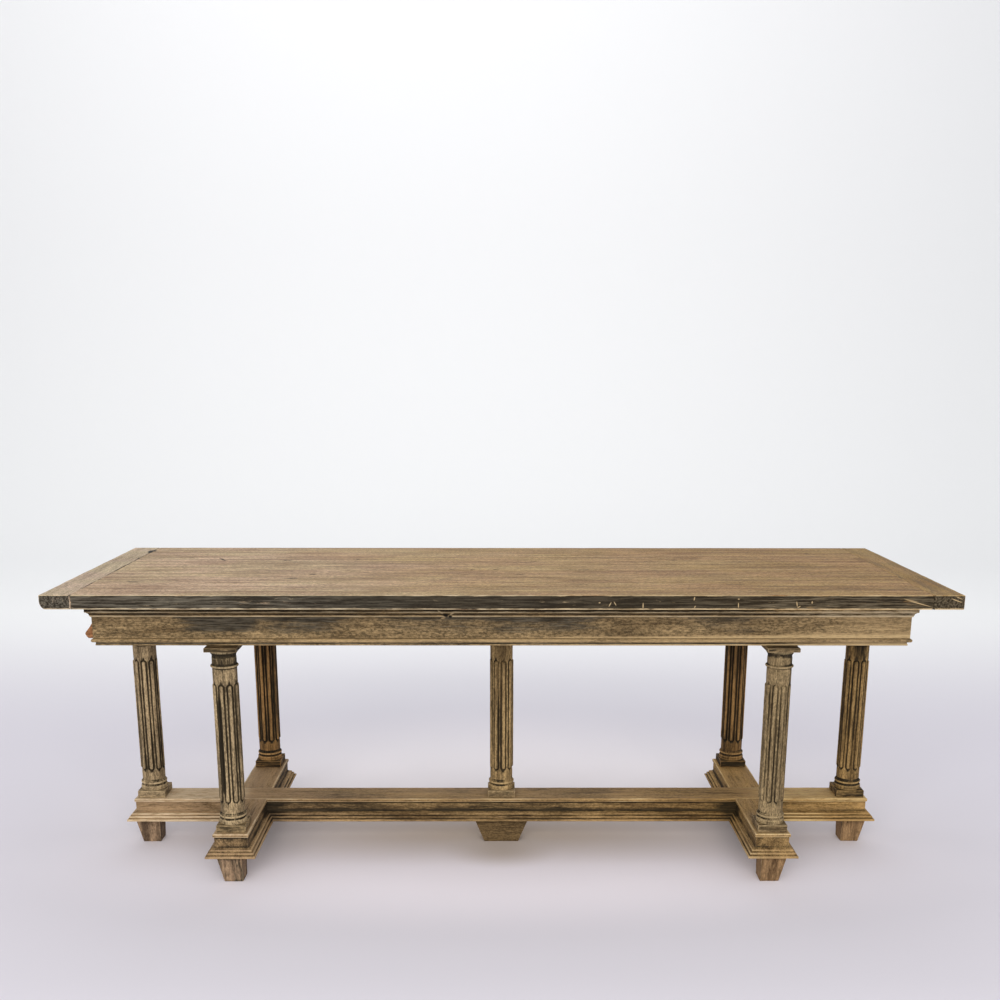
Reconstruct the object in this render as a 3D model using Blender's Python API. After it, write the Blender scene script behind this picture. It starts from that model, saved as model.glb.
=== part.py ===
"""A long communion table: boarded top with breadboard cleats, moulded apron, seven fluted columns
and a base of one long moulded stretcher crossed by four short arms, on block feet.

Metres. +X runs along the table, the front faces -Y, +Z is up. The origin is on the floor under
the middle of the top.
"""

import math

import bmesh
import bpy
from mathutils import Matrix, Vector

# Overall size
LENGTH = 2.210
DEPTH = 0.776
HEIGHT = 0.780
GAP = 0.0003  # left between pieces that touch

# Top
TOP_THICKNESS = 0.035
CLEAT_WIDTH = 0.074
TOP_JOINTS = (-0.232, -0.008, 0.235)  # where one board meets the next, front to back
TONGUE_REACH = 0.012
TONGUE_THICKNESS = 0.011
GROOVE_STOP = 0.022  # the groove in a cleat ends this far from its ends
TOP_UNDERSIDE = HEIGHT - TOP_THICKNESS

# Apron
APRON_HALF_LENGTH = 1.023
APRON_HALF_DEPTH = 0.274
APRON_BOTTOM = 0.6292
LONG_RAIL_THICKNESS = 0.030
END_RAIL_THICKNESS = 0.022
REBATE_DEPTH = 0.0047
REBATE_TOP = 0.6488
HOUSING = 0.008  # how far tongues and stub tenons go into the rails
RAIL_TONGUE_THICKNESS = 0.008
STUB_HALF_HEIGHT = 0.025
STUB_Z = 0.690
CENTRE_BEARER_HALF_WIDTH = 0.030
CROSS_BEARER_HALF_WIDTH = 0.018

# Mouldings on the apron: (how far it stands out from the apron's face, height)
CORNICE_PROFILE = (
    (GAP, 0.7040),
    (0.0035, 0.7084),
    (0.0055, 0.7120),
    (0.0090, 0.7150),
    (0.0130, 0.7166),
    (0.0130, TOP_UNDERSIDE - GAP),
    (GAP, TOP_UNDERSIDE - GAP),
)
ASTRAGAL_BOTTOM = 0.6388
ASTRAGAL_TOP = REBATE_TOP - GAP
ASTRAGAL_REACH = 0.0050
ASTRAGAL_POINTS = 5

# Columns
OUTER_X = 0.981
SIDE_X = 0.7025
SIDE_Y = 0.2593
RIBS = 9
RIB_RADIUS = 0.0326
FLUTE_RADIUS = 0.0290
COLLAR_RADIUS = 0.0304
ABACUS_HALF = 0.041
ABACUS_HEIGHT = 0.0104
PLINTH_HALF = 0.038
PLINTH_HEIGHT = 0.0203
TOP_TENON_RADIUS = 0.007
TOP_TENON_REACH = 0.022
FOOT_TENON_RADIUS = 0.012
FOOT_TENON_REACH = 0.026
HOLE_SIDES = 12

# Base
BASE_TOP = 0.1366
BASE_BOTTOM = 0.0755
BEAM_HALF_WIDTH = 0.0465
BEAM_END = 0.047  # from a column's axis to the end of the beam under it
# (height above the beam's bottom, how far it stands out from the beam's side)
BEAM_PROFILE = (
    (0.0000, 0.0165),
    (0.0025, 0.0190),
    (0.0065, 0.0190),
    (0.0080, 0.0135),
    (0.0145, 0.0125),
    (0.0160, 0.0080),
    (0.0205, 0.0065),
    (0.0255, -0.0030),
    (0.0515, -0.0030),
    (0.0520, 0.0000),
    (BASE_TOP - BASE_BOTTOM, 0.0000),
)
ARM_TENON_REACH = 0.025
ARM_TENON_HALF_WIDTH = 0.015
ARM_TENON_HEIGHTS = (0.028, 0.050)  # above the beam's bottom

# Feet
FOOT_OFFSET = 0.011  # a foot stands this far out from the axis of the column above it
FOOT_HALF = 0.0236
FOOT_CHAMFER = 0.003
FOOT_STUB_HALF = 0.012
FOOT_STUB_HEIGHT = 0.020
FOOT_OUTER_RAKE = 0.018
FOOT_INNER_RAKE = 0.002
FOOT_SIDE_RAKE = 0.009
CENTRE_FOOT_HALF_LENGTH = 0.048
CENTRE_FOOT_RAKE = 0.030

# Each column's name, place, and how far its ribs are turned, in degrees
COLUMNS = (
    ("left_outer", -OUTER_X, 0.0, 4),
    ("left_front", -SIDE_X, -SIDE_Y, 30),
    ("left_back", -SIDE_X, SIDE_Y, 29),
    ("centre", 0.0, 0.0, 39),
    ("right_back", SIDE_X, SIDE_Y, 21),
    ("right_front", SIDE_X, -SIDE_Y, 11),
    ("right_outer", OUTER_X, 0.0, 21),
)

# Linear colours
WORN_TOP = (0.155, 0.118, 0.090)
DARK_CLEAT = (0.060, 0.052, 0.046)
DARK_MOULDING = (0.040, 0.032, 0.024)
PLAIN_OAK = (0.205, 0.150, 0.088)
RED_OAK = (0.150, 0.092, 0.058)
INNER_OAK = (0.240, 0.180, 0.110)


def clear_scene():
    for item in list(bpy.data.objects):
        bpy.data.objects.remove(item)


def wood(name, colour, roughness=0.62):
    material = bpy.data.materials.new(name)
    material.use_nodes = True
    shader = material.node_tree.nodes["Principled BSDF"]
    shader.inputs["Base Color"].default_value = (*colour, 1.0)
    shader.inputs["Roughness"].default_value = roughness
    shader.inputs["Metallic"].default_value = 0.0
    return material


def mesh_from(bm):
    """A mesh with its faces pointing out. It frees the bmesh."""
    bmesh.ops.recalc_face_normals(bm, faces=bm.faces)
    mesh = bpy.data.meshes.new("shape")
    bm.to_mesh(mesh)
    bm.free()
    return mesh


def loft(rings):
    """A closed shape through rings of points, each with as many points as the next."""
    bm = bmesh.new()
    loops = [[bm.verts.new(point) for point in ring] for ring in rings]
    for below, above in zip(loops, loops[1:]):
        for i in range(len(below)):
            j = (i + 1) % len(below)
            bm.faces.new((below[i], below[j], above[j], above[i]))
    bm.faces.new(loops[0])
    bm.faces.new(loops[-1])
    return mesh_from(bm)


def rectangles(levels):
    """A closed shape through level rectangles, each given as (z, x0, x1, y0, y1)."""
    return loft(
        [[(x0, y0, z), (x1, y0, z), (x1, y1, z), (x0, y1, z)] for z, x0, x1, y0, y1 in levels]
    )


def box(x0, x1, y0, y1, z0, z1):
    return rectangles(((z0, x0, x1, y0, y1), (z1, x0, x1, y0, y1)))


def drill(x, y, z0, z1, tenon_radius):
    """An upright bar that cuts a hole for a round tenon. Its flat sides clear the tenon."""
    bm = bmesh.new()
    radius = (tenon_radius + GAP) / math.cos(math.pi / HOLE_SIDES)
    bmesh.ops.create_cone(
        bm,
        cap_ends=True,
        segments=HOLE_SIDES,
        radius1=radius,
        radius2=radius,
        depth=z1 - z0,
        matrix=Matrix.Translation((x, y, (z0 + z1) / 2)),
    )
    return mesh_from(bm)


def combine(mesh, operation, others):
    """The mesh after a Boolean with each of the other meshes in turn."""
    body = bpy.data.objects.new("body", mesh)
    bpy.context.scene.collection.objects.link(body)
    helpers = []
    for other in others:
        helper = bpy.data.objects.new("helper", other)
        bpy.context.scene.collection.objects.link(helper)
        helpers.append(helper)
        step = body.modifiers.new("step", "BOOLEAN")
        step.operation = operation
        step.solver = "EXACT"
        step.object = helper
    bpy.context.view_layer.update()
    graph = bpy.context.evaluated_depsgraph_get()
    result = bpy.data.meshes.new_from_object(body.evaluated_get(graph))
    for item in (body, *helpers):
        bpy.data.objects.remove(item)
    return result


def cut(mesh, *others):
    return combine(mesh, "DIFFERENCE", others)


def join(mesh, *others):
    return combine(mesh, "UNION", others)


def place(name, mesh, parent, colour, location=(0, 0, 0), turn=0.0):
    """Adds a piece with a finish of its own. Pieces of the same shape may share a mesh."""
    item = bpy.data.objects.new(name, mesh)
    bpy.context.scene.collection.objects.link(item)
    if not mesh.materials:
        mesh.materials.append(None)
    item.material_slots[0].link = "OBJECT"
    item.material_slots[0].material = wood(name + "_wood", colour)
    item.parent = parent
    item.location = location
    item.rotation_euler[2] = math.radians(turn)
    return item


def arc(radius, swell, z0, z1, points):
    """(z, r) along a bulge that leaves and rejoins radius, and is swell proud in the middle."""
    steps = [i / (points - 1) for i in range(points)]
    return [(z0 + (z1 - z0) * s, radius + swell * math.sin(math.pi * s)) for s in steps]


# Top ---------------------------------------------------------------------------------------


def top_board(front, back):
    """One board of the top, with a tongue on each end."""
    shoulder = LENGTH / 2 - CLEAT_WIDTH - GAP
    reach = shoulder + TONGUE_REACH
    stop = DEPTH / 2 - GROOVE_STOP - GAP
    middle = TOP_THICKNESS / 2
    half = TONGUE_THICKNESS / 2
    board = box(-shoulder, shoulder, front, back, 0.0, TOP_THICKNESS)
    tongue_front = max(front, -stop)
    tongue_back = min(back, stop)
    tongue = box(-reach, reach, tongue_front, tongue_back, middle - half, middle + half)
    return join(board, tongue)


def cleat():
    """The left cleat. Its groove faces +X, and turned half round it is the right one."""
    outside = -LENGTH / 2
    inside = outside + CLEAT_WIDTH
    stop = DEPTH / 2 - GROOVE_STOP
    middle = TOP_THICKNESS / 2
    half = TONGUE_THICKNESS / 2 + GAP
    body = box(outside, inside, -DEPTH / 2, DEPTH / 2, 0.0, TOP_THICKNESS)
    depth = TONGUE_REACH + GAP
    groove = box(inside - depth, inside + depth, -stop, stop, middle - half, middle + half)
    return cut(body, groove)


def build_top(parent):
    edges = (-DEPTH / 2, *TOP_JOINTS, DEPTH / 2)
    names = ("front", "front_middle", "back_middle", "back")
    for name, front, back in zip(names, edges, edges[1:]):
        start = front if name == "front" else front + GAP
        board = top_board(start, back)
        place("top_board_" + name, board, parent, WORN_TOP, (0, 0, TOP_UNDERSIDE))
    end = cleat()
    place("cleat_left", end, parent, WORN_TOP, (0, 0, TOP_UNDERSIDE))
    place("cleat_right", end, parent, DARK_CLEAT, (0, 0, TOP_UNDERSIDE), 180)


# Apron -------------------------------------------------------------------------------------


def rebate(x0, x1, y0, y1):
    """Cuts the step along the foot of a rail, where the astragal sits."""
    return box(x0, x1, y0, y1, APRON_BOTTOM - REBATE_DEPTH, REBATE_TOP)


def long_rail():
    """The front rail: a board with a rebate along its foot for the astragal. It is housed for
    the end rails and the cross bearers, and bored for the tenons of two columns."""
    half = APRON_HALF_LENGTH
    face = -APRON_HALF_DEPTH
    back = face + LONG_RAIL_THICKNESS
    board = box(-half, half, face, back, APRON_BOTTOM, TOP_UNDERSIDE - GAP)
    cutters = [rebate(-LENGTH, LENGTH, -DEPTH, face + REBATE_DEPTH)]
    cutters.append(rebate(-LENGTH, -half + REBATE_DEPTH, -DEPTH, DEPTH))
    cutters.append(rebate(half - REBATE_DEPTH, LENGTH, -DEPTH, DEPTH))
    tongue_middle = half - END_RAIL_THICKNESS / 2
    tongue_half = RAIL_TONGUE_THICKNESS / 2 + GAP
    bottom = back - HOUSING - GAP
    for side in (-1, 1):
        x = side * tongue_middle
        cutters.append(
            box(x - tongue_half, x + tongue_half, bottom, back + HOUSING, REBATE_TOP - GAP, HEIGHT)
        )
        x = side * SIDE_X
        width = CROSS_BEARER_HALF_WIDTH / 2 + GAP
        tall = STUB_HALF_HEIGHT + GAP
        cutters.append(
            box(x - width, x + width, bottom, back + HOUSING, STUB_Z - tall, STUB_Z + tall)
        )
        depth = TOP_TENON_REACH + GAP
        cutters.append(
            drill(x, -SIDE_Y, APRON_BOTTOM - depth, APRON_BOTTOM + depth, TOP_TENON_RADIUS)
        )
    return cut(board, *cutters)


def end_rail():
    """The left end rail, between the long rails, with a tongue at each end and a mortise for the
    centre bearer."""
    outside = -APRON_HALF_LENGTH
    inside = outside + END_RAIL_THICKNESS
    reach = APRON_HALF_DEPTH - LONG_RAIL_THICKNESS - GAP
    top = TOP_UNDERSIDE - GAP
    board = box(outside, inside, -reach, reach, APRON_BOTTOM, top)
    middle = (outside + inside) / 2
    half = RAIL_TONGUE_THICKNESS / 2
    tongue = box(
        middle - half, middle + half, -reach - HOUSING, reach + HOUSING, REBATE_TOP, top
    )
    width = CENTRE_BEARER_HALF_WIDTH / 2 + GAP
    tall = STUB_HALF_HEIGHT + GAP
    mortise = box(
        inside - HOUSING - GAP, inside + HOUSING, -width, width, STUB_Z - tall, STUB_Z + tall
    )
    foot = rebate(-LENGTH, outside + REBATE_DEPTH, -DEPTH, DEPTH)
    return cut(join(board, tongue), mortise, foot)


def centre_bearer():
    """It runs from end rail to end rail, notched from above for the cross bearers, and bored
    for the tenons of the outer and centre columns."""
    half = APRON_HALF_LENGTH - END_RAIL_THICKNESS - GAP
    width = CENTRE_BEARER_HALF_WIDTH
    top = TOP_UNDERSIDE - GAP
    halfway = (APRON_BOTTOM + top) / 2
    bar = box(-half, half, -width, width, APRON_BOTTOM, top)
    stub = box(
        -half - HOUSING,
        half + HOUSING,
        -width / 2,
        width / 2,
        STUB_Z - STUB_HALF_HEIGHT,
        STUB_Z + STUB_HALF_HEIGHT,
    )
    cutters = []
    notch = CROSS_BEARER_HALF_WIDTH + GAP
    for x in (-SIDE_X, SIDE_X):
        cutters.append(box(x - notch, x + notch, -2 * width, 2 * width, halfway, HEIGHT))
    depth = TOP_TENON_REACH + GAP
    for x in (-OUTER_X, 0.0, OUTER_X):
        cutters.append(
            drill(x, 0.0, APRON_BOTTOM - depth, APRON_BOTTOM + depth, TOP_TENON_RADIUS)
        )
    return cut(join(bar, stub), *cutters)


def cross_bearer():
    """It runs from the front rail to the back rail, notched from below over the centre bearer."""
    half = APRON_HALF_DEPTH - LONG_RAIL_THICKNESS - GAP
    width = CROSS_BEARER_HALF_WIDTH
    top = TOP_UNDERSIDE - GAP
    halfway = (APRON_BOTTOM + top) / 2
    bar = box(-width, width, -half, half, APRON_BOTTOM, top)
    stub = box(
        -width / 2,
        width / 2,
        -half - HOUSING,
        half + HOUSING,
        STUB_Z - STUB_HALF_HEIGHT,
        STUB_Z + STUB_HALF_HEIGHT,
    )
    notch = CENTRE_BEARER_HALF_WIDTH + GAP
    saddle = box(-2 * width, 2 * width, -notch, notch, APRON_BOTTOM - GAP, halfway + GAP)
    return cut(join(bar, stub), saddle)


def mitred_strip(profile, half_run, face):
    """A moulding along X whose back stands at y = -face. Its ends are mitred, so that each point
    of the profile (reach, z) runs past the end of the face by its own reach."""
    rings = []
    for side in (-1, 1):
        rings.append(
            [(side * (half_run + reach - GAP), -(face + reach), z) for reach, z in profile]
        )
    return loft(rings)


def astragal_profile():
    middle = (ASTRAGAL_BOTTOM + ASTRAGAL_TOP) / 2
    half = (ASTRAGAL_TOP - ASTRAGAL_BOTTOM) / 2
    points = [(-REBATE_DEPTH + GAP, ASTRAGAL_BOTTOM)]
    for i in range(ASTRAGAL_POINTS):
        turn = math.pi * (i / (ASTRAGAL_POINTS - 1) - 0.5)
        points.append((ASTRAGAL_REACH * math.cos(turn), middle + half * math.sin(turn)))
    points.append((-REBATE_DEPTH + GAP, ASTRAGAL_TOP))
    return points


def build_mouldings(parent):
    sizes = (
        (("front", 0), ("back", 180), APRON_HALF_LENGTH, APRON_HALF_DEPTH),
        (("right", 90), ("left", 270), APRON_HALF_DEPTH, APRON_HALF_LENGTH),
    )
    for first, second, half_run, face in sizes:
        cornice = mitred_strip(CORNICE_PROFILE, half_run, face)
        astragal = mitred_strip(astragal_profile(), half_run, face)
        for name, turn in (first, second):
            place("cornice_" + name, cornice, parent, DARK_MOULDING, turn=turn)
            place("astragal_" + name, astragal, parent, PLAIN_OAK, turn=turn)


def corner_block():
    """A wedge let on to the left end of the front rail, standing proud of it."""
    face = -APRON_HALF_LENGTH - GAP
    outline = (
        (face, REBATE_TOP + GAP),
        (face - 0.0125, REBATE_TOP + GAP),
        (face - 0.0190, 0.6600),
        (face - 0.0120, 0.6700),
        (face, 0.6860),
    )
    front = -APRON_HALF_DEPTH
    back = front + LONG_RAIL_THICKNESS
    return loft([[(x, y, z) for x, z in outline] for y in (front, back)])


def build_apron(parent):
    rail = long_rail()
    place("front_rail", rail, parent, PLAIN_OAK)
    place("back_rail", rail, parent, PLAIN_OAK, turn=180)
    end = end_rail()
    place("end_rail_left", end, parent, PLAIN_OAK)
    place("end_rail_right", end, parent, PLAIN_OAK, turn=180)
    build_mouldings(parent)
    place("corner_repair_block", corner_block(), parent, RED_OAK)
    place("centre_bearer", centre_bearer(), parent, INNER_OAK)
    cross = cross_bearer()
    place("cross_bearer_left", cross, parent, INNER_OAK, (-SIDE_X, 0, 0))
    place("cross_bearer_right", cross, parent, INNER_OAK, (SIDE_X, 0, 0))


# Columns -----------------------------------------------------------------------------------


def column_rows():
    """(z, radius, fluted) up the column, from the bottom of its lower tenon to the top of its
    upper one. Fluted rows are ribbed, and the rest are round."""
    plinth_top = BASE_TOP + 2 * GAP + PLINTH_HEIGHT
    foot = plinth_top + GAP
    cap = APRON_BOTTOM - 3 * GAP - ABACUS_HEIGHT
    rows = [(BASE_TOP - FOOT_TENON_REACH, FOOT_TENON_RADIUS), (foot, FOOT_TENON_RADIUS)]
    rows += arc(0.0335, 0.0044, foot, foot + 0.0180, 4)  # torus
    rows += [(0.1762, 0.0345), (0.1805, 0.0345)]  # fillet
    rows += [(0.1880, COLLAR_RADIUS), (0.2150, COLLAR_RADIUS)]  # lower collar
    shaft = [(0.2230, RIB_RADIUS), (0.5220, RIB_RADIUS)]
    upper = [(0.5330, COLLAR_RADIUS), (0.5705, COLLAR_RADIUS)]
    upper += [(0.5770, 0.0352)]  # neck ring
    upper += [(0.5835, COLLAR_RADIUS), (0.5980, COLLAR_RADIUS)]
    upper += [(0.6125, 0.0345), (cap, 0.0345)]  # echinus and fillet
    upper += [(cap, TOP_TENON_RADIUS), (APRON_BOTTOM + TOP_TENON_REACH, TOP_TENON_RADIUS)]
    return (
        [(z, r, False) for z, r in rows]
        + [(z, r, True) for z, r in shaft]
        + [(z, r, False) for z, r in upper]
    )


def column():
    """The turned and fluted column. Each rib has two edges, with one flute floor between ribs."""
    rib_edge = math.radians(360 / RIBS / 4)
    rings = []
    for z, radius, fluted in column_rows():
        ring = []
        for rib in range(RIBS):
            middle = 2 * math.pi * rib / RIBS
            floor = FLUTE_RADIUS if fluted else radius
            spots = (
                (middle - rib_edge, radius),
                (middle + rib_edge, radius),
                (middle + math.pi / RIBS, floor),
            )
            ring += [(r * math.cos(turn), r * math.sin(turn), z) for turn, r in spots]
        rings.append(ring)
    mesh = loft(rings)
    mesh.shade_smooth()
    mesh.set_sharp_from_angle(angle=math.radians(25))
    return mesh


def square_with_hole(half, height, radius):
    slab = box(-half, half, -half, half, 0.0, height)
    return cut(slab, drill(0, 0, -height, 2 * height, radius))


def build_columns(parent):
    shaft = column()
    abacus = square_with_hole(ABACUS_HALF, ABACUS_HEIGHT, TOP_TENON_RADIUS)
    plinth = square_with_hole(PLINTH_HALF, PLINTH_HEIGHT, FOOT_TENON_RADIUS)
    abacus_z = APRON_BOTTOM - GAP - ABACUS_HEIGHT
    for name, x, y, turn in COLUMNS:
        place("column_" + name, shaft, parent, PLAIN_OAK, (x, y, 0), turn)
        place("abacus_" + name, abacus, parent, PLAIN_OAK, (x, y, abacus_z))
        place("plinth_block_" + name, plinth, parent, PLAIN_OAK, (x, y, BASE_TOP + GAP))


# Base --------------------------------------------------------------------------------------


def column_hole(x, y):
    """Bores a beam's top for a column's tenon. Heights are above the beam's bottom."""
    top = BASE_TOP - BASE_BOTTOM
    depth = FOOT_TENON_REACH + GAP
    return drill(x, y, top - depth, top + depth, FOOT_TENON_RADIUS)


def foot_hole(x, y):
    """Cuts a beam's underside for the stub on a foot."""
    half = FOOT_STUB_HALF + GAP
    height = FOOT_STUB_HEIGHT + GAP
    return box(x - half, x + half, y - half, y + half, -height, height)


def stretcher():
    """The long beam under the whole table, moulded down both sides and round both ends."""
    half = OUTER_X + BEAM_END
    levels = []
    for z, reach in BEAM_PROFILE:
        x = half + reach
        y = BEAM_HALF_WIDTH + reach
        levels.append((z, -x, x, -y, y))
    low, high = ARM_TENON_HEIGHTS
    wide = ARM_TENON_HALF_WIDTH + GAP
    outside = 2 * BEAM_HALF_WIDTH
    inside = BEAM_HALF_WIDTH - ARM_TENON_REACH - GAP
    cutters = []
    for x in (-SIDE_X, SIDE_X):
        for y0, y1 in ((-outside, -inside), (inside, outside)):
            cutters.append(box(x - wide, x + wide, y0, y1, low - GAP, high + GAP))
    foot_x = OUTER_X + FOOT_OFFSET
    cutters += [column_hole(x, 0.0) for x in (-OUTER_X, 0.0, OUTER_X)]
    cutters += [foot_hole(x, 0.0) for x in (-foot_x, 0.0, foot_x)]
    return cut(rectangles(levels), *cutters)


def arm():
    """A front arm. Its inner end is scribed to the stretcher's moulding, and has a stub tenon."""
    end = -(SIDE_Y + BEAM_END)
    levels = []
    for z, reach in BEAM_PROFILE:
        x = BEAM_HALF_WIDTH + reach
        inner = -(BEAM_HALF_WIDTH + reach + GAP)
        levels.append((z, -x, x, end - reach, inner))
    low, high = ARM_TENON_HEIGHTS
    wide = ARM_TENON_HALF_WIDTH
    rooted = -BEAM_HALF_WIDTH - ARM_TENON_REACH
    tenon = box(-wide, wide, rooted, -BEAM_HALF_WIDTH + ARM_TENON_REACH, low, high)
    body = join(rectangles(levels), tenon)
    return cut(body, column_hole(0.0, -SIDE_Y), foot_hole(0.0, -SIDE_Y - FOOT_OFFSET))


def foot(half_length, outer_rake, inner_rake):
    """A block foot that widens upwards, most on the side at -X, with a stub on top."""
    top = BASE_BOTTOM - GAP
    small = FOOT_HALF - FOOT_CHAMFER
    x0 = half_length + outer_rake
    x1 = half_length + inner_rake
    y = FOOT_HALF + FOOT_SIDE_RAKE
    stub = FOOT_STUB_HALF
    bottom = half_length - FOOT_CHAMFER
    return rectangles(
        (
            (0.0, -bottom, bottom, -small, small),
            (FOOT_CHAMFER, -half_length, half_length, -FOOT_HALF, FOOT_HALF),
            (top, -x0, x1, -y, y),
            (top, -stub, stub, -stub, stub),
            (top + FOOT_STUB_HEIGHT, -stub, stub, -stub, stub),
        )
    )


def build_feet(parent):
    corner = foot(FOOT_HALF, FOOT_OUTER_RAKE, FOOT_INNER_RAKE)
    wide = foot(CENTRE_FOOT_HALF_LENGTH, CENTRE_FOOT_RAKE, CENTRE_FOOT_RAKE)
    for name, x, y, _ in COLUMNS:
        if name == "centre":
            place("foot_centre", wide, parent, RED_OAK)
            continue
        out = Vector((x, 0.0)) if y == 0.0 else Vector((0.0, y))
        spot = Vector((x, y)) + out.normalized() * FOOT_OFFSET
        turn = 0 if x < 0 else 180
        place("foot_" + name, corner, parent, RED_OAK, (spot.x, spot.y, 0), turn)


def build_base(parent):
    floor = (0, 0, BASE_BOTTOM)
    place("long_stretcher", stretcher(), parent, PLAIN_OAK, floor)
    short = arm()
    for side, x in (("left", -SIDE_X), ("right", SIDE_X)):
        for end, turn in (("front", 0), ("back", 180)):
            spot = (x, 0, BASE_BOTTOM)
            place(f"arm_{side}_{end}", short, parent, PLAIN_OAK, spot, turn)
    build_feet(parent)


clear_scene()
table = bpy.data.objects.new("communion_table", None)
bpy.context.scene.collection.objects.link(table)
build_top(table)
build_apron(table)
build_columns(table)
build_base(table)
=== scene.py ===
"""Looks for the communion table: dry, worn oak with grime in its mouldings, on a pale floor.

Each piece here stands for the CAD node whose name it carries, with the mouldings, reeds, softened
arrises and knocks of the real thing. Metres, in the frame of the CAD model, so +X runs along the
table, the front faces -Y and +Z is up. Every mesh has its vertices where they are in that frame.
"""

import math
from collections import namedtuple
from itertools import product

import bmesh
import bpy
import numpy as np
from mathutils import Matrix, Vector


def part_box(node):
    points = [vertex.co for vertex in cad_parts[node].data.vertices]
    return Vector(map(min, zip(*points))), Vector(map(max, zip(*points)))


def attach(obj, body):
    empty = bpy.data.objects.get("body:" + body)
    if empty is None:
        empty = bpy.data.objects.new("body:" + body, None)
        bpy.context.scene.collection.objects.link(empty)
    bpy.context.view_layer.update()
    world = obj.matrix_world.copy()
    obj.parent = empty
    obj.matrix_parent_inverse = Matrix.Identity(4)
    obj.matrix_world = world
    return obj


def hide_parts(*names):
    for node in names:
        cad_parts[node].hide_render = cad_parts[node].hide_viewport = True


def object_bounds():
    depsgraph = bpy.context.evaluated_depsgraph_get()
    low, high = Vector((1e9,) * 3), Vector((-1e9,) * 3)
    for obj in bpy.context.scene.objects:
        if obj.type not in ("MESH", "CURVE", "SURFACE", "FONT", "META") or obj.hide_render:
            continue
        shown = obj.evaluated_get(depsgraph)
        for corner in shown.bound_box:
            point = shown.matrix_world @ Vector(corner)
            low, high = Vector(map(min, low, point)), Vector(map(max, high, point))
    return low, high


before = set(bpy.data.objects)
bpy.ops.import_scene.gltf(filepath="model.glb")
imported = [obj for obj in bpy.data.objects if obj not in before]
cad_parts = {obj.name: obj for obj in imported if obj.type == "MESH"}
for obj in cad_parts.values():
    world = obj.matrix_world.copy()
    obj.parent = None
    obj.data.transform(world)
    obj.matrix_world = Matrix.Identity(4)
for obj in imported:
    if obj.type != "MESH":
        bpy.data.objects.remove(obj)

CAD_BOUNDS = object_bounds()
FRONT = CAD_BOUNDS[0][1]
ROOT = "root"
MM = 0.001
GAP = 0.0003  # between one piece and the next

# Camera, with its lens and the width of its sensor in millimetres
LENS = 41.9184
SENSOR = 36.0
CAMERA_AT = (-0.0222, -3.1192, 1.2931)
CAMERA_DOWN = math.radians(14.427)
CAMERA_RIGHT = math.radians(0.3289)
CAMERA_ROLL = math.radians(0.087)
CAMERA_SHIFT = 0.1724


# ---- Numbers ----


def smooth(low, high, value):
    """0 below low, 1 above high, and an easy curve between."""
    part = np.clip((value - low) / (high - low), 0.0, 1.0)
    return part * part * (3 - 2 * part)


def fade(low, high, value):
    """1 below low, 0 above high, and an easy curve between."""
    return 1 - smooth(low, high, value)


def at_points(value, points):
    """value itself, or what it gives for the points if it is a function."""
    return value(points) if callable(value) else value


def lattice(cells, seed):
    """A number from 0 to 1 for each whole-number cell."""
    mixed = cells[..., 0] * 73856093 ^ cells[..., 1] * 19349663 ^ cells[..., 2] * 83492791
    mixed = (mixed ^ seed * 40503) & 0x7FFFFFFF
    mixed = (mixed ^ (mixed >> 13)) * 1274126177 & 0x7FFFFFFF
    mixed = (mixed ^ (mixed >> 15)) * 668265263 & 0x7FFFFFFF
    return ((mixed ^ (mixed >> 12)) & 0xFFFF) / 65535


def noise(points, size, seed):
    """Smooth noise from -1 to 1 with features about size across: a number, or one per axis."""
    scaled = points / np.array(size, float)
    base = np.floor(scaled).astype(np.int64)
    part = scaled - base
    part = part * part * (3 - 2 * part)
    total = np.zeros(len(points))
    for corner in product((0, 1), repeat=3):
        weight = np.prod(np.where(corner, part, 1 - part), axis=1)
        total += weight * lattice(base + np.array(corner), seed)
    return 2 * total - 1


def spaced(low, high, step, radius):
    """Positions from low to high, close together within radius of each end."""
    near = radius * np.array([0.0, 0.22, 0.5, 1.0])
    count = max(2, round((high - low - 2 * radius) / step) + 1)
    inner = np.linspace(low + radius, high - radius, count)
    return np.concatenate([low + near[:-1], inner, (high - near[:-1])[::-1]])


def relief(section, reach):
    """(wear, grime) along a profile, each from 0 to 1: wear where it bulges from the line
    between places reach away on either side, grime in its hollows. The outside of the wood is
    on the right of the way that the points run."""
    full = 0.0005  # a bulge or hollow this deep counts in full
    section = np.asarray(section, float)
    steps = np.linalg.norm(np.diff(section, axis=0), axis=1)
    along = np.concatenate([[0.0], np.cumsum(steps)])

    def at(s):
        return np.stack([np.interp(s, along, section[:, k]) for k in (0, 1)], -1)

    before, after = at(along - reach), at(along + reach)
    run = after - before
    run /= np.maximum(np.linalg.norm(run, axis=1, keepdims=True), 1e-9)
    outward = np.stack([run[:, 1], -run[:, 0]], -1)
    bulge = np.sum((section - (before + after) / 2) * outward, axis=1)
    return np.clip(bulge / full, 0, 1), np.clip(-bulge / full, 0, 1)


def curve(start, end, bulge, count):
    """Points between two places on a profile, bowed to the left by bulge of their distance."""
    start, end = np.array(start), np.array(end)
    run = end - start
    side = np.array([-run[1], run[0]])
    steps = np.linspace(0, 1, count)
    return [tuple(start + run * s + side * bulge * 4 * s * (1 - s)) for s in steps]


def placed(across, up, rows):
    """Points of a profile that are given in millimetres from the place (across, up)."""
    return [(across + a * MM, up + b * MM) for a, b in rows]


# ---- Shapes ----


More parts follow.
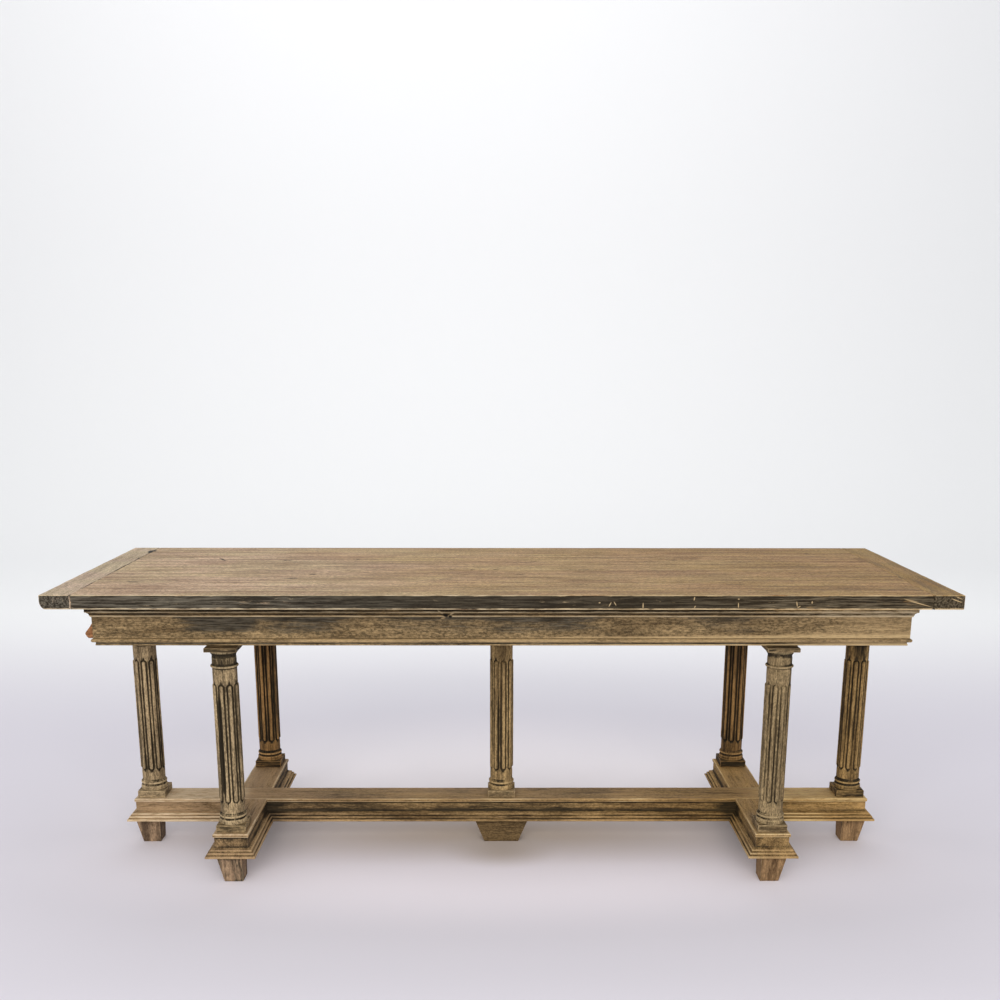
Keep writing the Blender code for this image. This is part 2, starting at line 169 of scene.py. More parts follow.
def block(low, high, steps, near):
    """The points and faces of a box's surface, on a grid that is closer near its arrises."""
    rulers = [spaced(a, b, step, near) for a, b, step in zip(low, high, steps)]
    sizes = [len(ruler) for ruler in rulers]
    grid = np.stack(np.meshgrid(*rulers, indexing="ij"), -1)
    outer = np.zeros(sizes, bool)
    for axis, place in enumerate(np.indices(sizes)):
        outer |= (place == 0) | (place == sizes[axis] - 1)
    number = np.full(sizes, -1)
    number[outer] = np.arange(outer.sum())
    faces = []
    for axis in range(3):
        for side in (0, -1):
            layer = np.take(number, side, axis=axis)
            quads = (layer[:-1, :-1], layer[1:, :-1], layer[1:, 1:], layer[:-1, 1:])
            faces += np.stack(quads, -1).reshape(-1, 4).tolist()
    return grid[outer], faces


def rounded(points, low, high, radius):
    """Points of a box's surface moved on to rounded arrises, and how far round each is: 0 on
    a face, 1 in the middle of an arris."""
    radius = np.broadcast_to(np.asarray(radius, float), len(points))[:, None]
    core = np.clip(points, np.asarray(low) + radius, np.asarray(high) - radius)
    away = points - core
    length = np.maximum(np.linalg.norm(away, axis=1, keepdims=True), 1e-9)
    order = np.sort(np.abs(away), axis=1)
    turn = order[:, 1] / np.maximum(order[:, 2], 1e-9)
    return core + away * radius / length, turn


def tube(rings, closed_ends=True):
    """The points and faces of a shape through rings of points, shaped (rings, points, 3)."""
    rows, count, _ = rings.shape
    number = np.arange(rows * count).reshape(rows, count)
    turned = np.roll(number, -1, axis=1)
    quads = (number[:-1], turned[:-1], turned[1:], number[1:])
    faces = np.stack(quads, -1).reshape(-1, 4).tolist()
    if closed_ends:
        faces += [number[0].tolist(), number[-1].tolist()]
    return rings.reshape(-1, 3), faces


def lid(ring, long, short):
    """Faces over a ring of points round an oblong, in strips from one long side to the other.
    The ring starts with the long points of one long side, then turns to a side of short points."""
    near, far = ring[:long], ring[long + short - 2 : 2 * long + short - 2][::-1]
    faces = [[near[i], near[i + 1], far[i + 1], far[i]] for i in range(long - 1)]
    faces[0] = [near[0], near[1], far[1], far[0], *ring[2 * long + short - 2 :]]
    faces[-1] = [near[-2], near[-1], *ring[long : long + short - 2], far[-1], far[-2]]
    return faces


def turned_round(points, degrees):
    """Points turned about the vertical axis through the origin."""
    turn = math.radians(degrees)
    cos, sin = math.cos(turn), math.sin(turn)
    return points @ np.array([[cos, -sin, 0], [sin, cos, 0], [0, 0, 1]]).T


def add_object(name, data):
    thing = bpy.data.objects.new(name, data)
    bpy.context.scene.collection.objects.link(thing)
    return thing


def seed_of(name):
    return sum((i + 1) * ord(letter) for i, letter in enumerate(name)) % 9973


def add_piece(name, shape, material, along, wear, grime, sharp=38):
    """Makes the piece that stands for the CAD node called name. along is the axis that its
    grain follows. wear and grime are one number or one for each point: 0 is none, 1 is full,
    and more than 1 gives the palest ridges and the thickest soot."""
    points, faces = shape
    mesh = bpy.data.meshes.new(name)
    mesh.from_pydata(points.tolist(), [], faces)
    across = [axis for axis in range(3) if axis != along]
    offset = np.random.default_rng(seed_of(name)).uniform(-5, 5, 3)
    for key, kind, field, values in (
        ("grain", "FLOAT_VECTOR", "vector", points[:, [along, *across]] + offset),
        ("wear", "FLOAT", "value", np.broadcast_to(wear, len(points))),
        ("grime", "FLOAT", "value", np.broadcast_to(grime, len(points))),
    ):
        layer = mesh.attributes.new(key, kind, "POINT")
        layer.data.foreach_set(field, np.ascontiguousarray(values, np.float32).ravel())
    bm = bmesh.new()
    bm.from_mesh(mesh)
    bmesh.ops.recalc_face_normals(bm, faces=bm.faces)
    bm.to_mesh(mesh)
    bm.free()
    mesh.shade_smooth()
    mesh.set_sharp_from_angle(angle=math.radians(sharp))
    mesh.materials.append(material)
    piece = add_object("worn_" + name, mesh)
    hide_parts(name)
    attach(piece, ROOT)


# ---- Materials ----


def linear(colour):
    """A colour given as 0 to 255 on screen, as the linear numbers that shaders take."""
    parts = []
    for value in colour:
        value = value / 255
        parts.append(value / 12.92 if value <= 0.04045 else ((value + 0.055) / 1.055) ** 2.4)
    return (*parts, 1.0)


def grey(level):
    return (level, level, level, 1.0)


class Surface:
    """Builds one material. Methods take sockets or plain numbers, and return sockets."""

    def __init__(self, name):
        self.material = bpy.data.materials.new(name)
        self.material.use_nodes = True
        self.tree = self.material.node_tree
        self.shader = self.tree.nodes["Principled BSDF"].inputs
        self.place = self.node("TexCoord", {})["Object"]

    def put(self, socket, value):
        if isinstance(value, bpy.types.NodeSocket):
            self.tree.links.new(value, socket)
        else:
            socket.default_value = value

    def node(self, kind, inputs, **settings):
        """The outputs of a new node. inputs has a value or a socket for each input."""
        node = self.tree.nodes.new("ShaderNode" + kind)
        for key, value in settings.items():
            setattr(node, key, value)
        for key, value in inputs.items():
            self.put(node.inputs[key], value)
        return node.outputs

    def axes(self, vector):
        """The X, Y and Z of a vector."""
        return self.node("SeparateXYZ", {0: vector})

    def maths(self, operation, a, b, clamp=False):
        return self.node("Math", {0: a, 1: b}, operation=operation, use_clamp=clamp)[0]

    def times(self, a, b):
        return self.maths("MULTIPLY", a, b)

    def total(self, first, *others):
        for value in others:
            first = self.maths("ADD", first, value)
        return first

    def swing(self, value, strength):
        """Noise about 0.5 turned into noise about 0."""
        return self.times(self.maths("SUBTRACT", value, 0.5), strength)

    def scaled(self, vector, by):
        return self.node("VectorMath", {0: vector, 1: by}, operation="MULTIPLY")[0]

    def cloud(self, vector, by, detail=2.0, roughness=0.5, distortion=0.0):
        """Noise about 0.5, with by its features per metre along each axis of vector."""
        inputs = {"Vector": self.scaled(vector, by), "Scale": 1.0, "Detail": detail}
        inputs |= {"Roughness": roughness, "Distortion": distortion}
        return self.node("TexNoise", inputs)["Fac"]

    def rings(self, vector, by, wander):
        """Growth rings, as bands across the grain."""
        inputs = {"Vector": self.scaled(vector, by), "Scale": 1.0, "Distortion": wander}
        inputs |= {"Detail": 3.0, "Detail Scale": 1.2}
        return self.node("TexWave", inputs, bands_direction="Y")["Fac"]

    def ramp(self, value, low, high, out_low=0.0, out_high=1.0):
        inputs = {"Value": value, "From Min": low, "From Max": high}
        inputs |= {"To Min": out_low, "To Max": out_high}
        return self.node("MapRange", inputs, interpolation_type="SMOOTHSTEP")["Result"]

    def mix(self, share, a, b, blend="MIX"):
        inputs = {"Factor": share, "A": a, "B": b}
        return self.node("Mix", inputs, data_type="RGBA", blend_type=blend)["Result"]

    def tinted(self, colour, by):
        return self.mix(1.0, colour, by, "MULTIPLY")

    def mark(self, at, size, turn=0.0, plane="XY", full=0.45):
        """1 inside a soft oval mark, 0 outside it. size is its half length and half width, turn
        is in degrees, and full is the share of it that is at full strength. It goes right
        through the object, square to its plane."""
        through = 1e3
        if plane == "XY":
            centre, spread, angles = (*at, 0.0), (*size, through), (0, 0, math.radians(turn))
        else:
            centre, spread = (at[0], 0.0, at[1]), (size[0], through, size[1])
            angles = (0, math.radians(-turn), 0)
        inputs = {"Vector": self.place, "Location": centre, "Rotation": angles, "Scale": spread}
        inside = self.node("Mapping", inputs, vector_type="TEXTURE")[0]
        away = self.node("VectorMath", {0: inside}, operation="LENGTH")["Value"]
        return self.ramp(away, 1.0, full)

    def marks(self, rows, plane="XY"):
        """The strongest of several marks, whose places and sizes are in millimetres."""
        most = 0.0
        for *measures, turn, strength in rows:
            x, y, length, width = (MM * measure for measure in measures)
            one = self.times(self.mark((x, y), (length, width), turn, plane), strength)
            most = self.maths("MAXIMUM", most, one)
        return most


class Wood(Surface):
    """A surface that knows the wear, grime and grain of the mesh that it is on."""

    def __init__(self, name, along=None):
        super().__init__(name)
        self.wear = self.attribute("wear", "Fac")
        self.grime = self.attribute("grime", "Fac")
        self.grain = self.attribute("grain", "Vector") if along is None else self.laid(along)
        self.scratches = 0.0
        self.hole = 0.0
        self.tint = (1, 0.99, 0.955, 1)

    def attribute(self, key, output):
        return self.node("Attribute", {}, attribute_name=key)[output]

    def laid(self, along):
        """The place in the object, with the axis that the grain follows first."""
        parts = self.axes(self.place)
        order = [along, *(axis for axis in range(3) if axis != along)]
        return self.node("CombineXYZ", {k: parts[axis] for k, axis in enumerate(order)})[0]


def wood(
    name, pale, deep, soot=(36, 33, 27), soot_light=(84, 77, 64), rubbed=(204, 182, 144),
    ridge_colour=(214, 192, 152), grime_bias=0.0, figure=1.0, mottle=0.22, patchy=1.0,
    cover=0.93, extra=None, along=None,
):
    """Dry oak: streaks, growth rings and pores along the grain, blotches, black grime where the
    mesh says so, and pale rubbed arrises. extra adds to it once the clean wood is coloured."""
    w = Wood(name, along)
    fibre = w.cloud(w.grain, (25, 420, 420), 3, 0.65)
    streak = w.cloud(w.grain, (4, 60, 60), 5, 0.65, 0.5)
    blotch = w.cloud(w.grain, (4, 13, 13), 4, 0.6)
    ring = w.rings(w.grain, (0.6, 7, 7), 6.0)
    pore = w.ramp(w.cloud(w.grain, (60, 1500, 1500), 2, 0.5), 0.58, 0.70)
    line = w.ramp(w.cloud(w.grain, (9, 150, 150), 4, 0.7, 0.3), 0.55, 0.68)
    speck = w.ramp(w.cloud(w.grain, (130, 260, 260), 4, 0.7), 0.38, 0.62)
    ragged = w.cloud(w.grain, (32, 210, 210), 4, 0.7)
    smear = w.cloud(w.grain, (6, 60, 60), 4, 0.65)
    share = w.total(w.swing(streak, 2.4 * figure), w.swing(blotch, 1.8), w.swing(fibre, 1.6))
    share = w.total(share, w.swing(ring, 0.25 * figure))
    share = w.maths("ADD", share, 0.5, clamp=True)
    colour = w.mix(share, linear(deep), linear(pale))
    dark = w.tinted(colour, (0.42, 0.38, 0.34, 1))
    colour = w.mix(w.times(line, 0.6 * figure), colour, dark)
    if extra:
        colour = extra(w, colour)
    darker = w.tinted(colour, grey(1 - mottle * 1.3))
    lighter = w.tinted(colour, grey(1 + mottle * 1.5))
    colour = w.mix(speck, darker, lighter)
    colour = w.mix(w.times(pore, 0.35), colour, linear(soot))
    dirt = w.total(w.grime, grime_bias, w.swing(smear, 2.6 * patchy), w.swing(ragged, 2.0 * patchy))
    dirt = w.ramp(dirt, 0.25, 0.95)
    dusty = w.ramp(w.cloud(w.grain, (12, 230, 230), 4, 0.7), 0.40, 0.64)
    dusty = w.times(dusty, w.ramp(w.grime, 1.1, 1.7, 1.0, 0.3))
    black = w.mix(dusty, linear(soot), linear(soot_light))
    colour = w.mix(w.times(dirt, cover), colour, black)
    rub = w.total(w.wear, w.swing(ragged, 3.0 * patchy), w.swing(smear, 1.8 * patchy))
    rub = w.times(w.ramp(rub, 0.45, 1.05), 0.85)
    rub = w.maths("MAXIMUM", rub, w.scratches)
    bare = w.mix(0.62, w.tinted(colour, grey(1.5)), linear(rubbed))
    colour = w.mix(rub, colour, bare)
    ridge = w.times(w.ramp(w.wear, 1.05, 1.45), w.ramp(ragged, 0.36, 0.56, 0.1, 0.8))
    colour = w.mix(ridge, colour, linear(ridge_colour))
    colour = w.mix(w.hole, colour, linear(soot))
    w.put(w.shader["Base Color"], w.tinted(colour, w.tint))
    rough = w.ramp(w.total(streak, w.times(dirt, 0.2)), 0.3, 0.8, 0.62, 0.85)
    w.put(w.shader["Roughness"], rough)
    w.shader["Specular IOR Level"].default_value = 0.12
    height = w.total(fibre, w.times(streak, 0.8), w.times(pore, -0.5), w.times(ragged, 1.2))
    bump = w.node("Bump", {"Strength": 0.7, "Distance": 0.0009, "Height": height})
    w.put(w.shader["Normal"], bump["Normal"])
    return w.material


# Marks on the top: (x, y, half length, half width, degrees from +X, strength), in millimetres
TOP_NICKS = (
    (-790, 160, 39.1, 6, -62, 0.9), (-605, 140, 18.4, 9, 10, 0.8), (-410, 165, 13.8, 9, 0, 0.8),
    (-497, -90, 13.8, 10.5, 20, 0.9), (-544, -152, 23, 7.5, 4, 0.8),
    (-146, -165, 20.7, 7.5, 0, 0.7), (-937, -203, 18.4, 15, 0, 0.6), (90, 130, 16.1, 9, -8, 0.7),
    (49, -90, 18.4, 7.5, 5, 0.7), (485, 150, 16.1, 9, 0, 0.7), (896, 270, 11.5, 12, 0, 0.8),
    (194, -235, 34.5, 6, 0, 0.8), (590, -235, 27.6, 6, 0, 0.7), (-134, -10, 10.3, 9, 0, 0.9),
    (-78, -12, 9.2, 9, 0, 0.9), (-15, -12, 11.5, 9, 0, 0.9), (-330, -10, 69, 6, 0, 0.7),
    (220, -14, 80.5, 6, 0, 0.7), (120, 236, 115, 6, 0, 0.45),
)
TOP_HOLES = (
    (-1035, 305, 10, 34, 10, 1), (-1030, 322, 11, 18, 30, 1), (-1033, 180, 5, 14, 0, 0.8),
)
TOP_STAINS = (
    (534, 195, 60, 30, 0, 0.5), (1020, 160, 20, 60, 0, 0.35), (1070, -200, 40, 160, 0, 0.45),
)
# Light scratches on the front edge of the top, with x and z for their place
EDGE_SCRATCHES = (
    (231, 762, 3, 1.8, 0, 1), (256, 758, 8, 1.5, 62, 1), (268, 760, 7, 1.4, -60, 0.9),
    (335, 755, 9, 1.7, 90, 1), (457, 772, 6, 1.8, 80, 1), (459, 752, 4, 1.8, 60, 0.8),
    (563, 771, 3, 1.8, 0, 1), (563, 756, 8, 1.6, 92, 1), (703, 759, 8, 1.6, 100, 1),
    (708, 752, 6, 1.5, 30, 0.9), (739, 763, 4, 2.2, 90, 0.9), (995, 760.5, 40, 1.4, -15, 1),
    (975, 768, 24, 1.2, -13, 0.8), (1085, 767.5, 18, 1.5, -20, 1), (1090, 774, 12, 1.4, -24, 0.9),
)
# The top's own colour at its left end, in its middle and at its right end
TOP_LEFT = (255, 250, 250)
TOP_MIDDLE = (234, 221, 198)
TOP_RIGHT = (219, 201, 170)


def top_marks(w, colour):
    """The top's change of colour along the table, with its stains, nicks and scratches."""
    x, y, _ = w.axes(w.place)
    along = w.total(x, w.swing(w.cloud(w.place, (1.5, 5, 5), 4), 1.6))
    brown = w.mix(w.ramp(along, -0.75, 0.1), linear(TOP_LEFT), linear(TOP_MIDDLE))
    brown = w.mix(w.ramp(along, -0.1, 0.9), brown, linear(TOP_RIGHT))
    colour = w.tinted(colour, brown)
    warm = w.ramp(w.cloud(w.place, (4, 11, 11), 3), 0.38, 0.62)
    warm = w.mix(warm, (1.025, 0.985, 1.015, 1), (0.99, 1.005, 0.945, 1))
    colour = w.tinted(colour, warm)
    colour = w.mix(w.marks(TOP_STAINS), colour, w.tinted(colour, (0.42, 0.36, 0.30, 1)))
    broken = w.ramp(w.cloud(w.place, (160, 220, 220), 3, 0.6), 0.36, 0.5)
    colour = w.mix(w.times(w.marks(TOP_NICKS), broken), colour, linear((44, 36, 28)))
    colour = w.mix(w.marks(TOP_HOLES), colour, linear((18, 15, 12)))
    front = w.ramp(y, FRONT + 8 * MM, FRONT + 4 * MM)
    w.scratches = w.times(w.marks(EDGE_SCRATCHES, "XZ"), front)
    edge = w.mix(w.ramp(x, -0.5, 0.8), (1.03, 1.04, 1.06, 1), (1.08, 0.99, 0.85, 1))
    w.tint = w.mix(front, grey(1.0), edge)
    return colour


# A small hole, with chips round it, under the cornice left of the middle, in the same way
FRONT_HOLE = ((-141, 708.5, 9, 6, -20, 1), (-130, 705, 6.5, 5, 0, 1))
FRONT_CHIPS = (
    (-154, 718, 10, 3, -35, 1), (-126, 713, 8, 2.6, 30, 1), (-148, 701, 8, 2.4, 10, 1),
)


def front_marks(w, colour):
    """The hole in the front of the apron, and the chips round it."""
    _, y, _ = w.axes(w.place)
    front = w.ramp(y, FRONT + 0.2, FRONT + 0.15)
    w.scratches = w.times(w.marks(FRONT_CHIPS, "XZ"), front)
    w.hole = w.times(w.marks(FRONT_HOLE, "XZ"), front)
    return colour


def beam_tint(w, colour):
    """The base is greyer at its left end, and more golden to the right, at the front most."""
    x, y, _ = w.axes(w.place)
    left = w.mix(w.ramp(x, -0.8, -0.2), (1.0, 1.0, 1.10, 1), (1, 0.99, 0.96, 1))
    right = w.times(w.ramp(x, 0.0, 0.8), w.ramp(y, -0.20, -0.11, 0.3))
    w.tint = w.mix(right, left, (1.06, 0.985, 0.77, 1))
    return colour


TOP_LOOK = {
    "soot": (28, 25, 19), "soot_light": (95, 89, 77), "ridge_colour": (206, 189, 157),
    "cover": 0.975, "extra": top_marks,
}
DEEP_SOOT = {"soot": (24, 20, 13), "soot_light": (60, 51, 36)}
BOARD = wood("board", (204, 182, 150), (154, 129, 101), figure=1.2, **TOP_LOOK)
CLEAT = wood("cleat", (212, 194, 166), (163, 146, 122), mottle=0.16, figure=0.8, **TOP_LOOK)
DARK_CLEAT = wood("dark_cleat", (200, 178, 139), (151, 131, 100), mottle=0.16, **TOP_LOOK)
OAK = wood("oak", (152, 130, 96), (86, 70, 48), mottle=0.26, patchy=0.8, **DEEP_SOOT)
BEAM_OAK = wood(
    "beam_oak", (153, 126, 86), (84, 65, 41), rubbed=(178, 148, 108), patchy=0.55,
    extra=beam_tint, **DEEP_SOOT,
)
FRIEZE_OAK = wood(
    "frieze_oak", (135, 115, 84), (84, 68, 45), mottle=0.36, patchy=0.42,
    soot_light=(91, 85, 74), rubbed=(178, 153, 114), ridge_colour=(186, 162, 122),
    extra=front_marks,
)
DARK_OAK = wood(
    "dark_oak", (134, 112, 78), (70, 56, 38), grime_bias=0.1, mottle=0.26, patchy=0.8,
    rubbed=(188, 170, 137), ridge_colour=(200, 183, 152), extra=front_marks, **DEEP_SOOT,
)

# The columns, left to right: three colours of oak, how mottled and how patchy it is, how black the
# grooves, the mouldings and the head are, the grime on the abacus and on the plinth block, and
# how far in degrees the column is turned from having a reed face the camera
Column = namedtuple("Column", "name pale deep rubbed mottle patchy groove mouldings head cap foot turn")
COLUMNS = [Column(*row) for row in (
    ("left_outer", (171, 149, 116), (94, 79, 58), (190, 169, 134),
     0.28, 0.75, 1.1, 1, 1, 0.3, 0, -10.5),
    ("left_front", (168, 147, 114), (90, 76, 56), (186, 165, 130),
     0.3, 0.75, 1.15, 1, 3, 0.7, 0.45, 17.6),
    ("left_back", (158, 121, 76), (64, 47, 27), (186, 148, 97),
     0.16, 0.5, 1.5, 1, 1, 0.3, 0.8, 12),
    ("centre", (166, 140, 98), (92, 74, 48), (180, 155, 112),
     0.26, 0.6, 0.95, 0.6, 1, 0.3, 0.2, 11.3),
    ("right_back", (156, 120, 74), (63, 47, 27), (184, 147, 96),
     0.16, 0.5, 1.6, 1, 1, 0.3, 0.8, -1.7),
    ("right_front", (152, 132, 99), (88, 73, 51), (168, 148, 113),
     0.28, 0.6, 0.6, 0.7, 2.4, 0.6, 0.35, -10.5),
    ("right_outer", (168, 137, 89), (88, 68, 40), (176, 146, 98),
     0.24, 0.6, 0.9, 1, 1, 0.3, 0.62, 0),
)]
COLUMN_OAKS = {
    each.name: wood(
        "column_oak_" + each.name, each.pale, each.deep, rubbed=each.rubbed,
        mottle=each.mottle, patchy=each.patchy, cover=0.965, **DEEP_SOOT,
    )
    for each in COLUMNS
}
FOOT_LOOK = {"mottle": 0.13, "figure": 1.7, "patchy": 0.8}
GREY_OAK = wood("grey_oak", (160, 134, 108), (88, 71, 56), **FOOT_LOOK)
RED_OAK = wood("red_oak", (153, 123, 89), (86, 65, 44), **FOOT_LOOK)
BROWN_OAK = wood("brown_oak", (108, 88, 60), (66, 52, 34), rubbed=(164, 138, 98), figure=1.3)
FOOT_OAKS = {"left_outer": GREY_OAK, "left_front": GREY_OAK, "centre": BROWN_OAK}  # others are red
CORNER_OAK = wood("corner_oak", (158, 112, 76), (106, 70, 46), rubbed=(186, 138, 98))
BEARER_OAK = [
    wood("bearer_oak_" + "xy"[axis], (158, 134, 100), (112, 92, 66), along=axis) for axis in (0, 1)
]


# ---- Top ----


def slab(name, low, high, steps, arris, material, grime, along=0, shape=None, rim=None):
    """A board or block with rounded, uneven arrises, whose usual radius is arris. If they are
    given, shape changes the points of the finished block, and rim its wear and grime."""
    low, high = np.array(low, float), np.array(high, float)
    seed = seed_of(name)
    most = arris * 2.2
    points, faces = block(low, high, steps, most)
    uneven = noise(points, (0.05, 0.05, 0.02), seed) + 0.6 * noise(points, 0.014, seed + 1)
    sizes = np.clip(arris * (1 + 0.55 * uneven), 0.3 * arris, most)
    moved, turn = rounded(points, low, high, sizes)
    dirt = at_points(grime, moved)
    wear = turn * 1.5 - 0.8 * np.clip(dirt, 0, 1)
    if rim:
        wear, dirt = rim(moved, wear, dirt)
    if shape:
        moved = shape(moved)
    add_piece(name, (moved, faces), material, along, wear, np.clip(dirt - turn, 0, 2))


def on_front(points):
    """1 on the front edge of the top, 0 elsewhere."""
    return fade(1.2 * MM, 3.5 * MM, points[:, 1] - FRONT)


def edge_grime(points):
    """Black on the front edge of the top, most of all in the middle."""
    x = points[:, 0]
    return on_front(points) * (1.22 + 0.4 * smooth(-0.7, -0.2, x) * fade(0.35, 0.75, x))


def top_rim(points, wear, dirt):
    """The front arrises of the top are pale, the lower one all along and the upper one in
    places. The joints between the boards and the cleats are black, the left one most."""
    low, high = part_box("cleat_left")
    x, y, z = points.T
    down = z - high.z
    lower = on_front(points) * fade(2.2 * MM, 4.2 * MM, z - low.z)
    upper = smooth(-1.2 * MM, -0.2 * MM, down) * fade(2.0 * MM, 4.4 * MM, y - FRONT)
    beneath = on_front(points) * smooth(-2.6 * MM, -1.2 * MM, down)
    broken = noise(points, (0.012, 0.05, 0.05), 41)
    wear = np.maximum(wear, lower * (1.28 + 0.6 * noise(points, (0.016, 0.05, 0.05), 40)))
    wear = np.maximum(wear, upper * (1.2 + 0.5 * broken))
    wear = np.maximum(wear, beneath * (1.05 + 0.75 * broken))
    from_joint = np.abs(np.abs(x) + high.x)
    on_top = smooth(-2.0 * MM, -0.5 * MM, down)
    dark = fade(0.9 * MM, 2.6 * MM, from_joint) * np.maximum(on_top, x > 0)
    dark = dark * np.where(x < 0, 1.0, 0.45) * (1.0 + 0.6 * noise(points, (0.05, 0.02, 0.05), 42))
    unworn = fade(2.4 * MM, 4.6 * MM, from_joint) * np.maximum(on_top, 0.45 + 0.55 * (x > 0))
    return wear * (1 - unworn), dirt + dark * 1.6


def build_top():
    left_low, left_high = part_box("cleat_left")
    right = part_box("cleat_right")[0].x - GAP
    steps, arris = (0.012, 0.02, 0.008), 0.0019
    for name in ("front", "front_middle", "back_middle", "back"):
        board_low, board_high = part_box("top_board_" + name)
        low = (left_high.x + GAP, board_low.y, left_low.z)
        high = (right, board_high.y, left_high.z)
        slab("top_board_" + name, low, high, steps, arris, BOARD, edge_grime, rim=top_rim)

    def worn_corner(points):
        """The front left corner is rubbed round from below."""
        height, depth = 0.021, 0.014
        points = points.copy()
        up = np.clip((points[:, 2] - left_low.z) / height, 0, 1)
        inward = depth * (1 - np.sqrt(1 - (1 - up) ** 2))
        near = fade(0.02, 0.10, points[:, 1] - left_low.y)
        outer = fade(0.0, 0.03, points[:, 0] - left_low.x)
        points[:, 0] += inward * near * outer
        return points

    steps, arris = (0.006, 0.012, 0.0035), 0.0020
    for name, material, shape in (
        ("cleat_left", CLEAT, worn_corner), ("cleat_right", DARK_CLEAT, None),
    ):
        slab(name, *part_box(name), steps, arris, material, edge_grime, 1, shape, top_rim)


# ---- Apron ----


def strip(name, section, half_run, face, degrees, material, grime=0.0, mitre=(-1, 1), rub=0.0):
    """A moulding along one side of the apron. section is (reach, z) from its bottom back corner
    round the front to its top back corner, with reach from the face. Its ends follow its reach,
    as a mitre does, within the limits that mitre gives."""
    section = np.array(section, float)
    count = max(3, round(2 * half_run / 0.012))
    wear, hollow = (np.tile(part, count) for part in relief(section, 0.0028))
    reach, z = section.T
    x = np.linspace(-1, 1, count)[:, None] * (half_run + np.clip(reach, *mitre) - GAP)
    points, faces = tube(np.stack(np.broadcast_arrays(x, -(face + reach), z), -1))
    seed = seed_of(name)
    points[:, 1] += (0.5 + 0.5 * noise(points, (0.05, 0.05, 0.006), seed)) * wear * 0.0006
    dirt = at_points(grime, points)
    wear = wear * (1.28 + 0.35 * noise(points, (0.09, 0.09, 0.02), seed + 5))
    wear = wear + at_points(rub, points)
    points = turned_round(points, degrees)
    along = 0 if degrees % 180 == 0 else 1
    add_piece(name, (points, faces), material, along, wear, np.clip(hollow + dirt, 0, 1))


def cornice_grime(points):
    """Blackest in the middle of the table and at its left, and clean on the lower mouldings."""
    x, z = points[:, 0], points[:, 2]
    middle = smooth(-0.15, 0.1, x) * fade(0.6, 0.85, x) + 0.6 * fade(-0.4, -0.15, x)
    return (0.75 + 0.3 * middle - 0.7 * smooth(0.52, 0.80, x)) * smooth(0.7145, 0.7185, z)


def cornice_rub(points):
    """The right end of the cornice is worn paler than the rest, but not where it meets the top."""
    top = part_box("cornice_front")[1].z
    return 0.8 * smooth(0.5, 0.95, points[:, 0]) - 2 * smooth(-3 * MM, -1 * MM, points[:, 2] - top)


def cornice_section():
    low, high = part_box("cornice_front")
    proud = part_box("front_rail")[0].y - low.y
    shelf = low.z + 12.6 * MM
    rows = [(GAP, high.z)] + [(proud, z) for z in np.linspace(high.z, shelf + 0.8 * MM, 7)]
    rows += [(proud - 0.8 * MM, shelf)] + placed(0, shelf, ((9.4, -0.2), (9.0, -1.2)))
    rows += curve((8.6 * MM, shelf - 1.8 * MM), (4.2 * MM, low.z + 4.6 * MM), -0.14, 5)
    rows += placed(0, low.z, ((4.2, 3.8), (3.6, 2.2), (3.0, 0.6), (2.0, 0.0)))
    return [(GAP, low.z), *rows[::-1]]


def bead_section():
    low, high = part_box("astragal_front")
    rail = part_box("front_rail")[0].y
    back, proud = rail - high.y, rail - low.y
    middle, half = (low.z + high.z) / 2, (high.z - low.z) / 2
    turns = [math.pi * (0.5 - i / 10) for i in range(11)]
    rows = [(proud * math.cos(turn), middle + half * math.sin(turn)) for turn in turns]
    return [(back, low.z), *rows[::-1], (back, high.z)]


def build_mouldings():
    rail_low, rail_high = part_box("front_rail")
    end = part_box("end_rail_right")[1].x
    cornice, bead = cornice_section(), bead_section()
    for side, degrees, half_run, face in (
        ("front", 0, rail_high.x, -rail_low.y),
        ("right", 90, -rail_low.y, end),
        ("back", 180, rail_high.x, -rail_low.y),
        ("left", 270, -rail_low.y, end),
    ):
        place = (half_run, face, degrees)
        rub = cornice_rub if side == "front" else 0.0
        strip("cornice_" + side, cornice, *place, DARK_OAK, cornice_grime, rub=rub)
        strip("astragal_" + side, bead, *place, FRIEZE_OAK, 0.25, rub=-0.45)


# Black smears on the front of the apron: (from x, to x, strength)
FRIEZE_SMEARS = (
    (-0.80, -0.60, 0.85), (-0.60, -0.40, 0.68), (-0.30, -0.05, 0.48), (-0.05, 0.24, 0.62),
    (0.47, 0.65, 0.38),
)


def frieze_grime(points):
    """Black smears on the upper part of the apron's face, and darker just under the cornice."""
    x, z = points[:, 0], points[:, 2]
    dirt = np.zeros(len(points))
    for low, high, strength in FRIEZE_SMEARS:
        inside = smooth(low - 0.05, low + 0.05, x) * fade(high - 0.05, high + 0.05, x)
        dirt = np.maximum(dirt, inside * strength)
    end = smooth(0.6, 0.9, x)
    under = 0.35 * (1 - 0.6 * end) * smooth(0.690, 0.703, z)
    return 0.08 * (1 - 2 * end) + dirt * smooth(0.652, 0.672, z) + under


def frieze_rub(points):
    """The right end of the apron is worn paler than the rest. Its foot is worn less on the left
    and more on the right."""
    x, z = points[:, 0], points[:, 2]
    foot = fade(0.664, 0.669, z) * (1 - 1.7 * smooth(-0.1, 0.4, x))
    return 0.95 * smooth(0.45, 0.95, x) - 0.15 - 0.5 * foot


